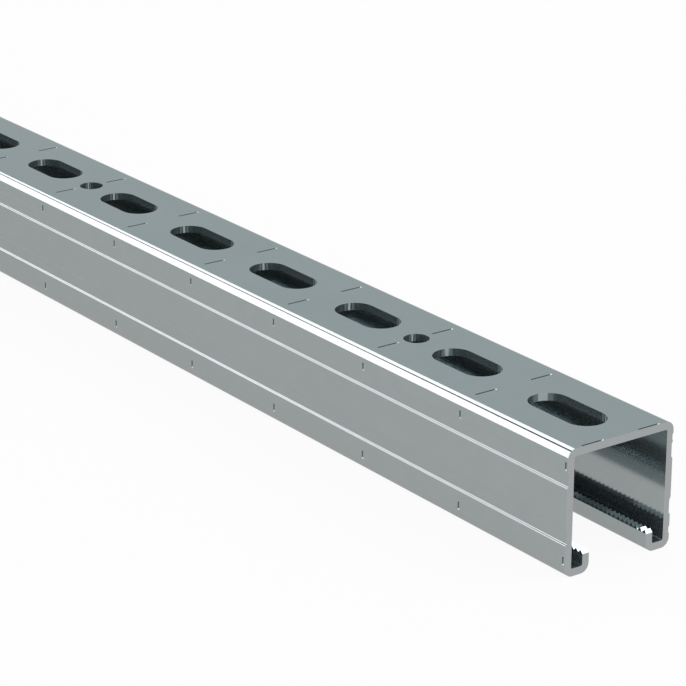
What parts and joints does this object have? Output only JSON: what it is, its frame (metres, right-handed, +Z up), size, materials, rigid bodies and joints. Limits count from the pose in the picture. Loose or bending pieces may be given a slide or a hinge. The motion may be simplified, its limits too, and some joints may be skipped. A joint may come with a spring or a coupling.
{
  "type": "strut channel",
  "caption": "Slotted square steel strut channel with grooved flanges and inward-curled serrated lips for channel nuts.",
  "frame": {"origin": "midway along the length and between the flanges, on the plane under the lips", "axes": "+X along the length, +Y across from one flange to the other, +Z up from the mouth to the slotted web"},
  "size_m": [1, 0.041, 0.041],
  "materials": {
    "galvanised_steel": "satin pre-galvanised strip, cut ends bare"
  },
  "bodies": {
    "root": {"channel": "galvanised_steel"}
  },
  "joints": []
}
